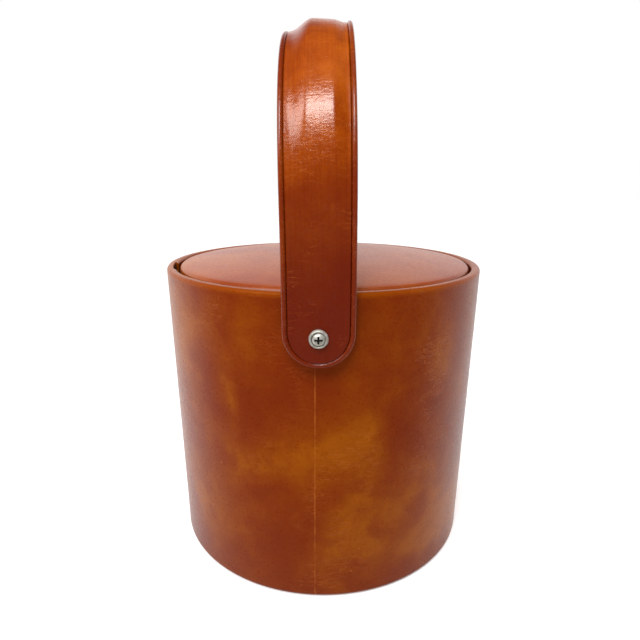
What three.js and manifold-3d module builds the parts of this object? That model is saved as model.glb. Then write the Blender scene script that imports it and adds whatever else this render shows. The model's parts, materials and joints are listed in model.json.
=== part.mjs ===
// A round ice bucket covered in padded leatherette, with a lift-off padded lid and a swinging strap handle.
// Millimetres, +Z up. The origin is on the surface the bucket stands on, at the middle of its base.
// The handle is pivoted on two screws, at the front (-Y) and the back (+Y), and arches over the lid.
import * as THREE from "three";
import { mergeVertices } from "three/addons/utils/BufferGeometryUtils.js";
import Module from "manifold-3d";

const wasm = await Module();
wasm.setup();

// Driving dimensions
const BODY_HEIGHT = 183;
const RIM_RADIUS = 101.5;
const BASE_RADIUS = 98.4;
const EDGE_ROUND = 2;
const CLEARANCE = 0.3;
const ROUND_FACETS = 40;
const FIXING_FACETS = 16;

const COVER_THICKNESS = 1.2;
const SHELL_THICKNESS = 2.5;
const RIM_WIDTH = 5.5;
const TURN_IN_DEPTH = 9;
const HEM_WIDTH = 11;
const HEM_LIFT = 0.4;
const PAD_THICKNESS = 1.3;
const PANEL_THICKNESS = 4;

const LINER_TOP_RADIUS = 86.5;
const LINER_FLOOR_RADIUS = 80;
const LINER_THICKNESS = 2;
const LINER_FLOOR_HEIGHT = 16;
const LINER_CORNER = 8;
const FLANGE_TOP = 173;
const FLANGE_THICKNESS = 1.7;
const LEDGE_HEIGHT = 5;
const LEDGE_WIDTH = 5;

const NOTCH_DIRECTION = Math.PI + 0.254;
const NOTCH_LENGTH = 27;
const NOTCH_DEPTH = 1.4;
const NOTCH_CORNER = 2.5;

const LID_RADIUS = 94.1;
const LID_OFFSET = 0.6;
const LID_CREST = 191.6;
const LID_SHOULDER = 183.6;
const LID_ROLL = 3;
const DOME_STEPS = 6;
const LID_COVER_THICKNESS = 1.1;
const LID_HEM_RADIUS = 82;
const LID_BOARD_THICKNESS = 3;
const TRAY_RADIUS = 84;
const TRAY_FLANGE_RADIUS = 91;
const TRAY_DEPTH = 11;
const TRAY_THICKNESS = 1.3;

const STRAP_WIDTH = 35.8;
const STRAP_TIP = 146;
const LIMB_REACH = 107.4;
const LIMB_TOP = 217;
const ARCH_RISE = 101.2;
const ARCH_POWER = 2.5;
const ARCH_STEPS = 24;
const PADDED_STEPS = 8;
const FLAT_STEPS = 2;
const PIPING_WIDTH = 2.6;
const PIPING_DEPTH = 3.9;
const PAD_CROWN = 4.6;
const PAD_CROWN_LIMB = 0.5;
const PAD_PLATEAU = 6;
const PAD_FOOT = 12.8;
const CROWN_TWIST = THREE.MathUtils.degToRad(8.6);
const CROWN_LEAN = 3;

const PIVOT_HEIGHT = 161.8;
const SCREW_RADIUS = 1.8;
const SCREW_HEAD_RADIUS = 3.7;
const SCREW_HEAD_DOME = 1.2;
const SCREW_END = 89;
const CROSS_LENGTH = 4;
const CROSS_WIDTH = 0.8;
const CROSS_DEPTH = 1;
const CUP_RADIUS = 4.9;
const CUP_HEIGHT = 1.8;
const CUP_FOOT = 0.5;
const SPACER_RADIUS = 7;
const SPACER_THICKNESS = 0.4;
const PLATE_WIDTH = 22;
const PLATE_HEIGHT = 14;
const PLATE_THICKNESS = 1.5;
const NUT_ACROSS_FLATS = 7;
const NUT_THICKNESS = 3.2;

// Materials
const finish = (color, roughness, metalness = 0) =>
  new THREE.MeshStandardMaterial({ color, roughness, metalness });
const leatherette = () => finish(0xa5521c, 0.34);
const liningCloth = () => finish(0x7a3413, 0.6);
const darkPlastic = () => finish(0x3b342f, 0.55);
const linerPlastic = () => finish(0x2f2d2b, 0.35);
const foam = () => finish(0xe6dcb8, 0.95);
const fibreboard = () => finish(0x8a6a48, 0.85);
const felt = () => finish(0x2b2724, 1);
const steel = () => finish(0xb9b8b2, 0.3, 1);
const nylon = () => finish(0xd8d2c4, 0.5);

// A closed geometry as a solid that can be cut and joined, and the solid as a geometry again.
function solidOf(geometry) {
  const bare = geometry.index ? geometry.toNonIndexed() : geometry.clone();
  bare.deleteAttribute("normal");
  bare.deleteAttribute("uv");
  const merged = mergeVertices(bare, 1e-4);
  const vertProperties = new Float32Array(merged.attributes.position.array);
  const triVerts = new Uint32Array(merged.index.array);
  return new wasm.Manifold(new wasm.Mesh({ numProp: 3, vertProperties, triVerts }));
}

function geometryOf(solid) {
  const mesh = solid.getMesh();
  const geometry = new THREE.BufferGeometry();
  geometry.setAttribute("position", new THREE.BufferAttribute(mesh.vertProperties, mesh.numProp));
  geometry.setIndex(new THREE.BufferAttribute(mesh.triVerts, 1));
  geometry.computeVertexNormals();
  return geometry;
}

function addPiece(group, name, geometry, material) {
  const mesh = new THREE.Mesh(geometry, material);
  mesh.name = name;
  group.add(mesh);
}

// A profile of [radius, height] pairs turned about the Z axis, anticlockwise round its section.
function turned(profile, facets = ROUND_FACETS) {
  const points = profile.map(([radius, height]) => new THREE.Vector2(radius, height));
  return new THREE.LatheGeometry(points, facets).rotateX(Math.PI / 2);
}

const closed = (profile) => [...profile, profile[0]];

// Points of an arc in a profile, from one angle to another, in degrees.
function arc(radius, height, size, from, to, steps) {
  return Array.from({ length: steps + 1 }, (_, i) => {
    const angle = THREE.MathUtils.degToRad(from + ((to - from) * i) / steps);
    return [radius + size * Math.cos(angle), height + size * Math.sin(angle)];
  });
}

function disc(radius, bottom, top) {
  return turned([[0, bottom], [radius, bottom], [radius, top], [0, top]]);
}

function box(width, depth, height, x, y, z) {
  return new THREE.BoxGeometry(width, depth, height).translate(x, y, z);
}

// A rod along Y through both walls, for drilling the two pivot holes at once.
function pivotDrill(radius) {
  const length = 2 * (LIMB_REACH + 10);
  return solidOf(new THREE.CylinderGeometry(radius, radius, length, FIXING_FACETS).translate(0, 0, PIVOT_HEIGHT));
}

const wallRadius = (height) => BASE_RADIUS + ((RIM_RADIUS - BASE_RADIUS) * height) / BODY_HEIGHT;
const pivotHole = pivotDrill(SCREW_RADIUS + CLEARANCE);

const bucket = new THREE.Group();

// The finger notch in the inner edge of the rim, a little in front of the left side.
function notchCutter() {
  const height = BODY_HEIGHT - FLANGE_TOP + 1;
  const innerRadius = RIM_RADIUS - RIM_WIDTH;
  const reach = innerRadius + NOTCH_DEPTH;
  const end = NOTCH_LENGTH / 2;
  const open = innerRadius - 6;
  const back = reach - 0.4;
  const bulge = 1;
  const outline = new THREE.Shape();
  outline.moveTo(open, -end);
  outline.lineTo(back - NOTCH_CORNER, -end);
  outline.quadraticCurveTo(back, -end, back, NOTCH_CORNER - end);
  outline.quadraticCurveTo(back + bulge, 0, back, end - NOTCH_CORNER);
  outline.quadraticCurveTo(back, end, back - NOTCH_CORNER, end);
  outline.lineTo(open, end);
  const options = { depth: height, bevelEnabled: false, curveSegments: 6 };
  const geometry = new THREE.ExtrudeGeometry(outline, options);
  return solidOf(geometry.rotateZ(NOTCH_DIRECTION).translate(0, 0, FLANGE_TOP + CLEARANCE));
}

// Leatherette cover: up the wall, over the rim and down inside it, with its lower edge turned under the base.
function bodyWrap() {
  const t = COVER_THICKNESS;
  const rimInner = RIM_RADIUS - RIM_WIDTH;
  const turnInEnd = BODY_HEIGHT - TURN_IN_DEPTH;
  const hemInner = BASE_RADIUS - HEM_WIDTH;
  const profile = closed([
    [hemInner, HEM_LIFT],
    ...arc(BASE_RADIUS - EDGE_ROUND, HEM_LIFT + EDGE_ROUND, EDGE_ROUND, -90, 0, 3),
    ...arc(RIM_RADIUS - EDGE_ROUND, BODY_HEIGHT - EDGE_ROUND, EDGE_ROUND, 0, 90, 3),
    ...arc(rimInner + EDGE_ROUND, BODY_HEIGHT - EDGE_ROUND, EDGE_ROUND, 90, 180, 3),
    [rimInner, turnInEnd],
    [rimInner + t, turnInEnd],
    [rimInner + t, BODY_HEIGHT - t - 0.6],
    [rimInner + t + 0.6, BODY_HEIGHT - t],
    [RIM_RADIUS - t - 0.6, BODY_HEIGHT - t],
    [RIM_RADIUS - t, BODY_HEIGHT - t - 0.6],
    [BASE_RADIUS - t, HEM_LIFT + t],
    [hemInner, HEM_LIFT + t],
  ]);
  return geometryOf(solidOf(turned(profile)).subtract(notchCutter()).subtract(pivotHole));
}

// Moulded outer shell under the cover: a plain tapered tube.
const shellBottom = HEM_LIFT + COVER_THICKNESS + CLEARANCE;
const shellOuter = (height) => wallRadius(height) - COVER_THICKNESS - CLEARANCE;
const shellInner = (height) => shellOuter(height) - SHELL_THICKNESS;

function outerShell() {
  const top = BODY_HEIGHT - COVER_THICKNESS - CLEARANCE;
  const profile = closed([
    [shellInner(shellBottom), shellBottom],
    [shellOuter(shellBottom), shellBottom],
    [shellOuter(top - 0.8), top - 0.8],
    [shellOuter(top) - 0.8, top],
    [shellInner(top) + 0.4, top],
    [shellInner(top), top - 0.4],
  ]);
  return geometryOf(solidOf(turned(profile)).subtract(notchCutter()).subtract(pivotHole));
}

// Base: a fibreboard panel inside the shell, and a felt pad within the hem that the bucket stands on.
const panelTop = shellBottom + PANEL_THICKNESS;
const panelRadius = shellInner(shellBottom) - CLEARANCE;
const padRadius = BASE_RADIUS - HEM_WIDTH - CLEARANCE;

// Ledge ring glued inside the shell, which carries the flange of the liner.
const ledgeTop = FLANGE_TOP - FLANGE_THICKNESS - CLEARANCE;

function ledgeRing() {
  const bottom = ledgeTop - LEDGE_HEIGHT;
  const outer = shellInner(bottom) - CLEARANCE;
  const profile = [[outer - LEDGE_WIDTH, bottom], [outer, bottom], [outer, ledgeTop], [outer - LEDGE_WIDTH, ledgeTop]];
  return turned(closed(profile));
}

// Inner bucket that holds the ice: a moulded tapered cup with a flange round its mouth.
const linerFloorTop = LINER_FLOOR_HEIGHT;
const linerFloorBottom = linerFloorTop - LINER_THICKNESS;

function liner() {
  const t = LINER_THICKNESS;
  const corner = LINER_CORNER;
  const flangeBottom = FLANGE_TOP - FLANGE_THICKNESS;
  const flangeRadius = shellInner(flangeBottom) - CLEARANCE;
  return turned([
    [0, linerFloorBottom],
    ...arc(LINER_FLOOR_RADIUS + t - corner, linerFloorBottom + corner, corner, -90, 0, 3),
    [LINER_TOP_RADIUS + t, flangeBottom],
    [flangeRadius, flangeBottom],
    [flangeRadius, FLANGE_TOP],
    [LINER_TOP_RADIUS + 1, FLANGE_TOP],
    [LINER_TOP_RADIUS, FLANGE_TOP - 1],
    ...arc(LINER_FLOOR_RADIUS - corner + t, linerFloorTop + corner - t, corner - t, 0, -90, 3),
    [0, linerFloorTop],
  ]);
}

// Insulation: a foam disc under the liner and a foam jacket round it, with a pocket at each pivot.
const foamBottom = panelTop + CLEARANCE;
const foamSplit = linerFloorBottom - CLEARANCE;

function foamBase() {
  return disc(shellInner(foamBottom) - CLEARANCE, foamBottom, foamSplit);
}

function foamJacket() {
  const bottom = foamSplit + CLEARANCE;
  const top = ledgeTop - LEDGE_HEIGHT - CLEARANCE;
  const outer = (height) => shellInner(height) - CLEARANCE;
  const inner = LINER_TOP_RADIUS + LINER_THICKNESS + CLEARANCE;
  const lowInner = LINER_FLOOR_RADIUS + LINER_THICKNESS + CLEARANCE;
  const profile = closed([
    [lowInner, bottom],
    [outer(bottom), bottom],
    [outer(top), top],
    [inner, top],
  ]);
  const spare = 1;
  const pocketBottom = plateMiddle - PLATE_HEIGHT / 2 - spare;
  const height = top + spare - pocketBottom;
  const depth = 2 * (shellInner(top) + spare);
  const pocket = box(PLATE_WIDTH + 2 * spare, depth, height, 0, 0, pocketBottom + height / 2);
  return geometryOf(solidOf(turned(profile)).subtract(solidOf(pocket)));
}

// Pivot fixings, the same at the front and the back, each in a group whose -Y is outwards.
const plateMiddle = ledgeTop - LEDGE_HEIGHT - CLEARANCE - PLATE_HEIGHT / 2;
const plateShellRadius = shellInner(plateMiddle - PLATE_HEIGHT / 2);
const plateOuter = Math.sqrt(plateShellRadius ** 2 - (PLATE_WIDTH / 2) ** 2) - CLEARANCE;
const strapFace = LIMB_REACH - 0.4 + PAD_CROWN_LIMB;

function backingPlate() {
  const middle = -(plateOuter - PLATE_THICKNESS / 2);
  const plate = box(PLATE_WIDTH, PLATE_THICKNESS, PLATE_HEIGHT, 0, middle, plateMiddle);
  return geometryOf(solidOf(plate).subtract(pivotHole));
}

function pivotNut() {
  const radius = NUT_ACROSS_FLATS / 2 / Math.cos(Math.PI / 6);
  const middle = -(plateOuter - PLATE_THICKNESS - CLEARANCE - NUT_THICKNESS / 2);
  const nut = new THREE.CylinderGeometry(radius, radius, NUT_THICKNESS, 6).translate(0, middle, PIVOT_HEIGHT);
  return geometryOf(solidOf(nut).subtract(pivotHole));
}

// Turned pieces of the pivot: the profile's height is the distance outwards from the bucket's axis.
function pivotTurned(profile) {
  return turned(profile, FIXING_FACETS).rotateX(Math.PI / 2).translate(0, 0, PIVOT_HEIGHT);
}

function pivotSpacer() {
  const inner = wallRadius(PIVOT_HEIGHT) + CLEARANCE;
  const hole = SCREW_RADIUS + CLEARANCE;
  const outer = inner + SPACER_THICKNESS;
  return pivotTurned(closed([[hole, inner], [SPACER_RADIUS, inner], [SPACER_RADIUS, outer], [hole, outer]]));
}

function finishingWasher() {
  const foot = strapFace + CLEARANCE;
  const hole = SCREW_RADIUS + CLEARANCE;
  return pivotTurned(closed([
    [hole, foot],
    [CUP_RADIUS, foot],
    [CUP_RADIUS, foot + CUP_FOOT],
    [CUP_RADIUS - 0.9, foot + CUP_HEIGHT],
    [SCREW_HEAD_RADIUS + 0.35, foot + CUP_HEIGHT],
    [hole, foot + CUP_FOOT],
  ]));
}

function pivotScrew() {
  const seat = strapFace + CLEARANCE + CUP_HEIGHT;
  const flare = CUP_HEIGHT - CUP_FOOT;
  const shaft = turned([
    [0, SCREW_END],
    [SCREW_RADIUS, SCREW_END],
    [SCREW_RADIUS, seat - flare],
    [SCREW_HEAD_RADIUS, seat],
    [SCREW_HEAD_RADIUS * 0.75, seat + SCREW_HEAD_DOME * 0.55],
    [SCREW_HEAD_RADIUS * 0.4, seat + SCREW_HEAD_DOME * 0.9],
    [0, seat + SCREW_HEAD_DOME],
  ], FIXING_FACETS);
  const crest = seat + SCREW_HEAD_DOME;
  const arms = solidOf(box(CROSS_LENGTH, CROSS_WIDTH, 2 * CROSS_DEPTH, 0, 0, crest));
  const cross = arms.add(solidOf(box(CROSS_WIDTH, CROSS_LENGTH, 2 * CROSS_DEPTH, 0, 0, crest)));
  return geometryOf(solidOf(shaft).subtract(cross)).rotateX(Math.PI / 2).translate(0, 0, PIVOT_HEIGHT);
}

// Handle: layers of one strap, each given by how far it lies inside the outer outline of the arch.
const roundCentre = STRAP_TIP + STRAP_WIDTH / 2;
const archSin = (height) => Math.pow(Math.min(Math.max((height - LIMB_TOP) / ARCH_RISE, 0), 1), ARCH_POWER / 2);

// Outward direction of the arch in the YZ plane at a point near it.
function archNormal(y, z) {
  const across = Math.pow(Math.abs(y) / LIMB_REACH, ARCH_POWER - 1) / LIMB_REACH;
  const up = Math.pow(Math.max(z - LIMB_TOP, 0) / ARCH_RISE, ARCH_POWER - 1) / ARCH_RISE;
  return new THREE.Vector2(Math.sign(y) * across, up).normalize();
}

// The arch outline moved inwards by an inset, from the foot of the front limb to the foot of the back one.
function archLine(inset) {
  const foot = STRAP_TIP - 5;
  const points = [new THREE.Vector2(-LIMB_REACH + inset, foot)];
  for (let i = 0; i <= ARCH_STEPS; i++) {
    const turn = (Math.PI * i) / ARCH_STEPS;
    const cos = Math.cos(turn);
    const y = -LIMB_REACH * Math.sign(cos) * Math.pow(Math.abs(cos), 2 / ARCH_POWER);
    const z = LIMB_TOP + ARCH_RISE * Math.pow(Math.max(Math.sin(turn), 0), 2 / ARCH_POWER);
    points.push(new THREE.Vector2(y, z).addScaledVector(archNormal(y, z), -inset));
  }
  points.push(new THREE.Vector2(LIMB_REACH - inset, foot));
  return points;
}

// The outline of the strap seen from the front, with a round lower end, as a cutter along Y.
function strapOutline(halfWidth) {
  const outline = new THREE.Shape();
  const top = LIMB_TOP + ARCH_RISE + 20;
  outline.moveTo(halfWidth, roundCentre);
  outline.lineTo(halfWidth, top);
  outline.lineTo(-halfWidth, top);
  outline.lineTo(-halfWidth, roundCentre);
  outline.absarc(0, roundCentre, halfWidth, Math.PI, 2 * Math.PI, false);
  const length = 2 * (LIMB_REACH + 20);
  const geometry = new THREE.ExtrudeGeometry(outline, { depth: length, bevelEnabled: false, curveSegments: 12 });
  return solidOf(geometry.translate(0, 0, -length / 2).rotateX(Math.PI / 2));
}

// How far the padding lifts the strap's face at a point: full across the middle, fading to the edges and the limbs.
function padLift(x, y, z) {
  const across = THREE.MathUtils.smoothstep(PAD_FOOT - Math.abs(x), 0, PAD_FOOT - PAD_PLATEAU);
  const along = THREE.MathUtils.smoothstep(archSin(z), 0, 0.8);
  return across * THREE.MathUtils.lerp(PAD_CROWN_LIMB, PAD_CROWN, along);
}

// Moves every point of a geometry along the arch's outward direction by an amount found from its place.
function lifted(geometry, amount) {
  const position = geometry.attributes.position;
  for (let i = 0; i < position.count; i++) {
    const [x, y, z] = [position.getX(i), position.getY(i), position.getZ(i)];
    const normal = archNormal(y, z);
    const lift = amount(x, y, z);
    position.setXYZ(i, x, y + normal.x * lift, z + normal.y * lift);
  }
  return geometry;
}

// One layer of the strap between two insets, a little wider than the outline it is later cut to.
function strapLayer(outerInset, innerInset, steps) {
  const width = STRAP_WIDTH + 2;
  const shape = new THREE.Shape([...archLine(outerInset), ...archLine(innerInset).reverse()]);
  const options = { depth: width, steps, bevelEnabled: false };
  const geometry = new THREE.ExtrudeGeometry(shape, options).translate(0, 0, -width / 2);
  const alongX = new THREE.Vector3(1, 0, 0);
  const alongY = new THREE.Vector3(0, 1, 0);
  const alongZ = new THREE.Vector3(0, 0, 1);
  return geometry.applyMatrix4(new THREE.Matrix4().makeBasis(alongY, alongZ, alongX));
}

// Years of use have tipped the crown of the handle a few degrees and leant it to the left.
function worn(solid) {
  const geometry = lifted(geometryOf(solid), (x, y, z) => x * Math.sin(CROWN_TWIST * archSin(z)));
  const position = geometry.attributes.position;
  const crownHeight = LIMB_TOP + ARCH_RISE - PIVOT_HEIGHT;
  for (let i = 0; i < position.count; i++) {
    const rise = Math.max(position.getZ(i) - PIVOT_HEIGHT, 0) / crownHeight;
    position.setX(i, position.getX(i) - CROWN_LEAN * rise * rise);
  }
  geometry.computeVertexNormals();
  return geometry;
}

const faceHalfWidth = STRAP_WIDTH / 2 - PIPING_WIDTH - CLEARANCE;
const faceInset = 0.4;
const faceThickness = 1.2;
const foamInset = faceInset + faceThickness + CLEARANCE;
const foamThickness = 0.6;
const coreInset = foamInset + foamThickness + CLEARANCE;
const coreThickness = PIPING_DEPTH - coreInset + 0.2;
const liningInset = PIPING_DEPTH + 0.2 + CLEARANCE;
const liningThickness = 0.8;
const strapHole = pivotDrill(SCREW_RADIUS + 2 * CLEARANCE);

function strapPiece(outerInset, thickness, halfWidth, steps, lift) {
  const layer = lifted(strapLayer(outerInset, outerInset + thickness, steps), lift);
  return solidOf(layer).intersect(strapOutline(halfWidth)).subtract(strapHole);
}

const flat = () => 0;
const strapCore = () => worn(strapPiece(coreInset, coreThickness, faceHalfWidth, FLAT_STEPS, flat));
const strapLining = () => worn(strapPiece(liningInset, liningThickness, STRAP_WIDTH / 2 - 0.4, FLAT_STEPS, flat));
const strapFacing = () => worn(strapPiece(faceInset, faceThickness, faceHalfWidth, PADDED_STEPS, padLift));

// Foam pad between the core and the facing: only its outer side is lifted.
function strapPadding() {
  const middle = foamInset + foamThickness / 2;
  const depthIn = (y, z) => (z < LIMB_TOP ? LIMB_REACH - Math.abs(y) : archDepth(y, z));
  const lift = (x, y, z) => (depthIn(y, z) < middle ? padLift(x, y, z) : 0);
  return worn(strapPiece(foamInset, foamThickness, faceHalfWidth - 1, PADDED_STEPS, lift));
}

// Depth of a point inside the outline of the arch.
function archDepth(y, z) {
  const across = Math.pow(Math.abs(y) / LIMB_REACH, ARCH_POWER);
  const up = Math.pow(Math.max(z - LIMB_TOP, 0) / ARCH_RISE, ARCH_POWER);
  const reach = Math.pow(across + up, 1 / ARCH_POWER);
  const slope = Math.hypot(
    Math.pow(Math.abs(y) / LIMB_REACH / reach, ARCH_POWER - 1) / LIMB_REACH,
    Math.pow(Math.max(z - LIMB_TOP, 0) / ARCH_RISE / reach, ARCH_POWER - 1) / ARCH_RISE,
  );
  return (1 - reach) / slope;
}

// Piping: one bead sewn all the way round the edge of the strap.
function strapPiping() {
  const band = solidOf(strapLayer(0, PIPING_DEPTH, FLAT_STEPS));
  const ring = band.intersect(strapOutline(STRAP_WIDTH / 2)).subtract(strapOutline(STRAP_WIDTH / 2 - PIPING_WIDTH));
  return worn(ring);
}

// Lid, in a group that lies slightly off centre in the mouth. Heights are measured from the base.
const trayFlangeBottom = FLANGE_TOP + CLEARANCE;
const trayFlangeTop = trayFlangeBottom + 1;
const lidHemBottom = trayFlangeTop + CLEARANCE;
const lidBoardBottom = lidHemBottom + LID_COVER_THICKNESS + CLEARANCE;
const lidBoardTop = lidBoardBottom + LID_BOARD_THICKNESS;
const trayFloor = trayFlangeTop - TRAY_DEPTH;

// Half section of the padded top, inset from the outside of the cover, from its edge to the middle.
function lidDome(inset) {
  const points = arc(LID_RADIUS - LID_ROLL, LID_SHOULDER - LID_ROLL, LID_ROLL - inset, 0, 75, 3);
  const [edgeRadius, edgeHeight] = points[points.length - 1];
  const crest = LID_CREST - inset;
  for (let i = 1; i <= DOME_STEPS; i++) {
    const across = 1 - i / DOME_STEPS;
    points.push([edgeRadius * across, crest - (crest - edgeHeight) * Math.pow(across, 2.4)]);
  }
  return points;
}

function lidCover() {
  const t = LID_COVER_THICKNESS;
  return turned([
    ...lidDome(t).reverse(),
    [LID_RADIUS - t, lidHemBottom + t],
    [LID_HEM_RADIUS, lidHemBottom + t],
    [LID_HEM_RADIUS, lidHemBottom],
    [LID_RADIUS - 1, lidHemBottom],
    [LID_RADIUS, lidHemBottom + 1],
    ...lidDome(0),
  ]);
}

function lidFoam() {
  const inset = LID_COVER_THICKNESS + CLEARANCE;
  return turned([[0, lidBoardTop + CLEARANCE], [LID_RADIUS - inset, lidBoardTop + CLEARANCE], ...lidDome(inset)]);
}

function lidTray() {
  const t = TRAY_THICKNESS;
  return turned([
    [0, trayFloor],
    [TRAY_RADIUS - 3, trayFloor],
    [TRAY_RADIUS - 1, trayFloor + 2],
    [TRAY_RADIUS, trayFlangeBottom],
    [TRAY_FLANGE_RADIUS, trayFlangeBottom],
    [TRAY_FLANGE_RADIUS, trayFlangeTop],
    [TRAY_RADIUS - t, trayFlangeTop],
    [TRAY_RADIUS - 1 - t, trayFloor + 2 + t],
    [TRAY_RADIUS - 3 - t, trayFloor + t],
    [0, trayFloor + t],
  ]);
}

// Insulating disc inside the tray.
function trayFill() {
  return disc(TRAY_RADIUS - 5, trayFloor + TRAY_THICKNESS + CLEARANCE, trayFlangeTop - CLEARANCE);
}

// Assembly
addPiece(bucket, "base_pad", disc(padRadius, 0, PAD_THICKNESS), felt());
addPiece(bucket, "base_panel", disc(panelRadius, shellBottom, panelTop), fibreboard());
addPiece(bucket, "outer_shell", outerShell(), darkPlastic());
addPiece(bucket, "body_wrap", bodyWrap(), leatherette());
addPiece(bucket, "foam_base", foamBase(), foam());
addPiece(bucket, "foam_jacket", foamJacket(), foam());
addPiece(bucket, "ledge_ring", ledgeRing(), fibreboard());
addPiece(bucket, "ice_liner", liner(), linerPlastic());

for (const [side, turn] of [["front", 0], ["back", Math.PI]]) {
  const fixing = new THREE.Group();
  fixing.rotation.z = turn;
  addPiece(fixing, side + "_backing_plate", backingPlate(), steel());
  addPiece(fixing, side + "_pivot_nut", pivotNut(), steel());
  addPiece(fixing, side + "_pivot_spacer", pivotSpacer(), nylon());
  addPiece(fixing, side + "_finishing_washer", finishingWasher(), steel());
  addPiece(fixing, side + "_pivot_screw", pivotScrew(), steel());
  bucket.add(fixing);
}

addPiece(bucket, "handle_core", strapCore(), steel());
addPiece(bucket, "handle_padding", strapPadding(), foam());
addPiece(bucket, "handle_facing", strapFacing(), leatherette());
addPiece(bucket, "handle_lining", strapLining(), liningCloth());
addPiece(bucket, "handle_piping", strapPiping(), leatherette());

const lid = new THREE.Group();
lid.position.x = LID_OFFSET;
addPiece(lid, "lid_tray", lidTray(), linerPlastic());
addPiece(lid, "lid_insulation", trayFill(), foam());
addPiece(lid, "lid_board", disc(LID_RADIUS - 1.8, lidBoardBottom, lidBoardTop), fibreboard());
addPiece(lid, "lid_foam", lidFoam(), foam());
addPiece(lid, "lid_cover", lidCover(), leatherette());
bucket.add(lid);

export default bucket;
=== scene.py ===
import json
import math

import bmesh
import bpy
import numpy as np
from mathutils import Matrix, Vector, noise


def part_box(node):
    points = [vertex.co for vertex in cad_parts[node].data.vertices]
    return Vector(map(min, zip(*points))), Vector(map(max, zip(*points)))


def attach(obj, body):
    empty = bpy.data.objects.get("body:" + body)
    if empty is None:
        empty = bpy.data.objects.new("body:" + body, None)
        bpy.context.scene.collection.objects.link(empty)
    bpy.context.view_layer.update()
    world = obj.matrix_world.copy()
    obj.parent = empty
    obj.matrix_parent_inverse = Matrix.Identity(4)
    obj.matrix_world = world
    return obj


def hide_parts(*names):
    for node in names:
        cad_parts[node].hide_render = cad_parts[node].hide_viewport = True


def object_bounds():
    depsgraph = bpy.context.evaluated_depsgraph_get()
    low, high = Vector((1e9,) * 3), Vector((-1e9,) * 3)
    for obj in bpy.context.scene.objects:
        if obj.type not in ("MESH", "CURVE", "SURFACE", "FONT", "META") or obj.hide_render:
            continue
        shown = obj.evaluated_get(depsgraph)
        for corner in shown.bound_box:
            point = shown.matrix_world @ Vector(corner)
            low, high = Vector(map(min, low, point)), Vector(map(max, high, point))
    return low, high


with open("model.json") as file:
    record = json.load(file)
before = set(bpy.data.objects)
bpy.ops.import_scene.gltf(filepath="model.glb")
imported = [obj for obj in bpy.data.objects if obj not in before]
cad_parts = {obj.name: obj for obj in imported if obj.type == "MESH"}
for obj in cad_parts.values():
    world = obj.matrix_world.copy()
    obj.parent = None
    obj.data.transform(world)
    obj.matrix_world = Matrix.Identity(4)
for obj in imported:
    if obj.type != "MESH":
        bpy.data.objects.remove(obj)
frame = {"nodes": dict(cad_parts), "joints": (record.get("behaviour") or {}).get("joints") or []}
cad_low, cad_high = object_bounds()
nodes = frame["nodes"]


# Base panel and ledge ring
# Two die-cut pieces of brown pressed fibreboard: a disc that closes the foot of the shell, and a
# ring glued inside its mouth to carry the liner. Raw board, speckled with darker and paler fibres.
def fill(tree, node, inputs):
    """Sets a node's inputs. Each is a value, or the socket that feeds it."""
    for key, value in inputs.items():
        if isinstance(value, bpy.types.NodeSocket):
            tree.links.new(value, node.inputs[key])
        else:
            node.inputs[key].default_value = value


def add_node(tree, kind, inputs=None, **settings):
    node = tree.nodes.new(kind)
    for key, value in settings.items():
        setattr(node, key, value)
    fill(tree, node, inputs or {})
    return node


def smooth_step(tree, value, low, high, to_low, to_high):
    """Maps a value from one range to another, with soft ends, and holds it there."""
    inputs = {"Value": value, "From Min": low, "From Max": high, "To Min": to_low, "To Max": to_high}
    node = add_node(tree, "ShaderNodeMapRange", inputs, interpolation_type="SMOOTHSTEP")
    return node.outputs["Result"]


class Finish:
    """A material, built node by node. Sizes of patterns are in metres."""

    def __init__(self, name):
        self.material = bpy.data.materials.new(name)
        self.material.use_nodes = True
        self.tree = self.material.node_tree
        self.tree.nodes.clear()
        self.shader = self.node("BsdfPrincipled")
        self.output = self.node("OutputMaterial", {"Surface": self.shader.outputs["BSDF"]})

    def node(self, kind, inputs=None, **settings):
        return add_node(self.tree, "ShaderNode" + kind, inputs, **settings)

    def place(self, stretch=(1, 1, 1), uv=False):
        source = self.node("TexCoord").outputs["UV" if uv else "Object"]
        return self.node("Mapping", {"Vector": source, "Scale": stretch}).outputs["Vector"]

    def noise(self, at, size, detail=3, rough=0.5, twist=0):
        inputs = {"Vector": at, "Scale": 1 / size, "Detail": detail, "Roughness": rough, "Distortion": twist}
        return self.node("TexNoise", inputs).outputs["Fac"]

    def cells(self, at, size, feature="F1"):
        return self.node("TexVoronoi", {"Vector": at, "Scale": 1 / size}, feature=feature).outputs["Distance"]

    def calc(self, operation, a, b=0.0):
        return self.node("Math", {0: a, 1: b}, operation=operation).outputs[0]

    def remap(self, value, low, high, to_low=0.0, to_high=1.0):
        return smooth_step(self.tree, value, low, high, to_low, to_high)

    def ramp(self, factor, *stops):
        node = self.node("ValToRGB", {"Fac": factor})
        points = node.color_ramp.elements
        while len(points) < len(stops):
            points.new(1.0)
        for point, (position, colour) in zip(points, stops):
            point.position = position
            point.color = colour
        return node.outputs["Color"]

    def mix(self, factor, a, b, mode="MIX"):
        return self.node("Mix", {0: factor, 6: a, 7: b}, data_type="RGBA", blend_type=mode).outputs[2]

    def relief(self, *layers):
        """Raises the surface by its layers. Each is a height from 0 to 1 and a depth in metres."""
        total = 0.0
        for height, depth in layers:
            total = self.calc("ADD", self.calc("MULTIPLY", height, depth), total)
        bump = self.node("Bump", {"Height": total, "Distance": 1.0})
        fill(self.tree, self.shader, {"Normal": bump.outputs["Normal"]})

    def done(self, **inputs):
        fill(self.tree, self.shader, {key.replace("_", " "): value for key, value in inputs.items()})
        return self.material


def dye(red, green, blue):
    """A colour by its screen values, from 0 to 255."""
    shares = [(v / 3294.6 if v < 10.3 else ((v / 255 + 0.055) / 1.055) ** 2.4) for v in (red, green, blue)]
    return (*shares, 1.0)


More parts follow.
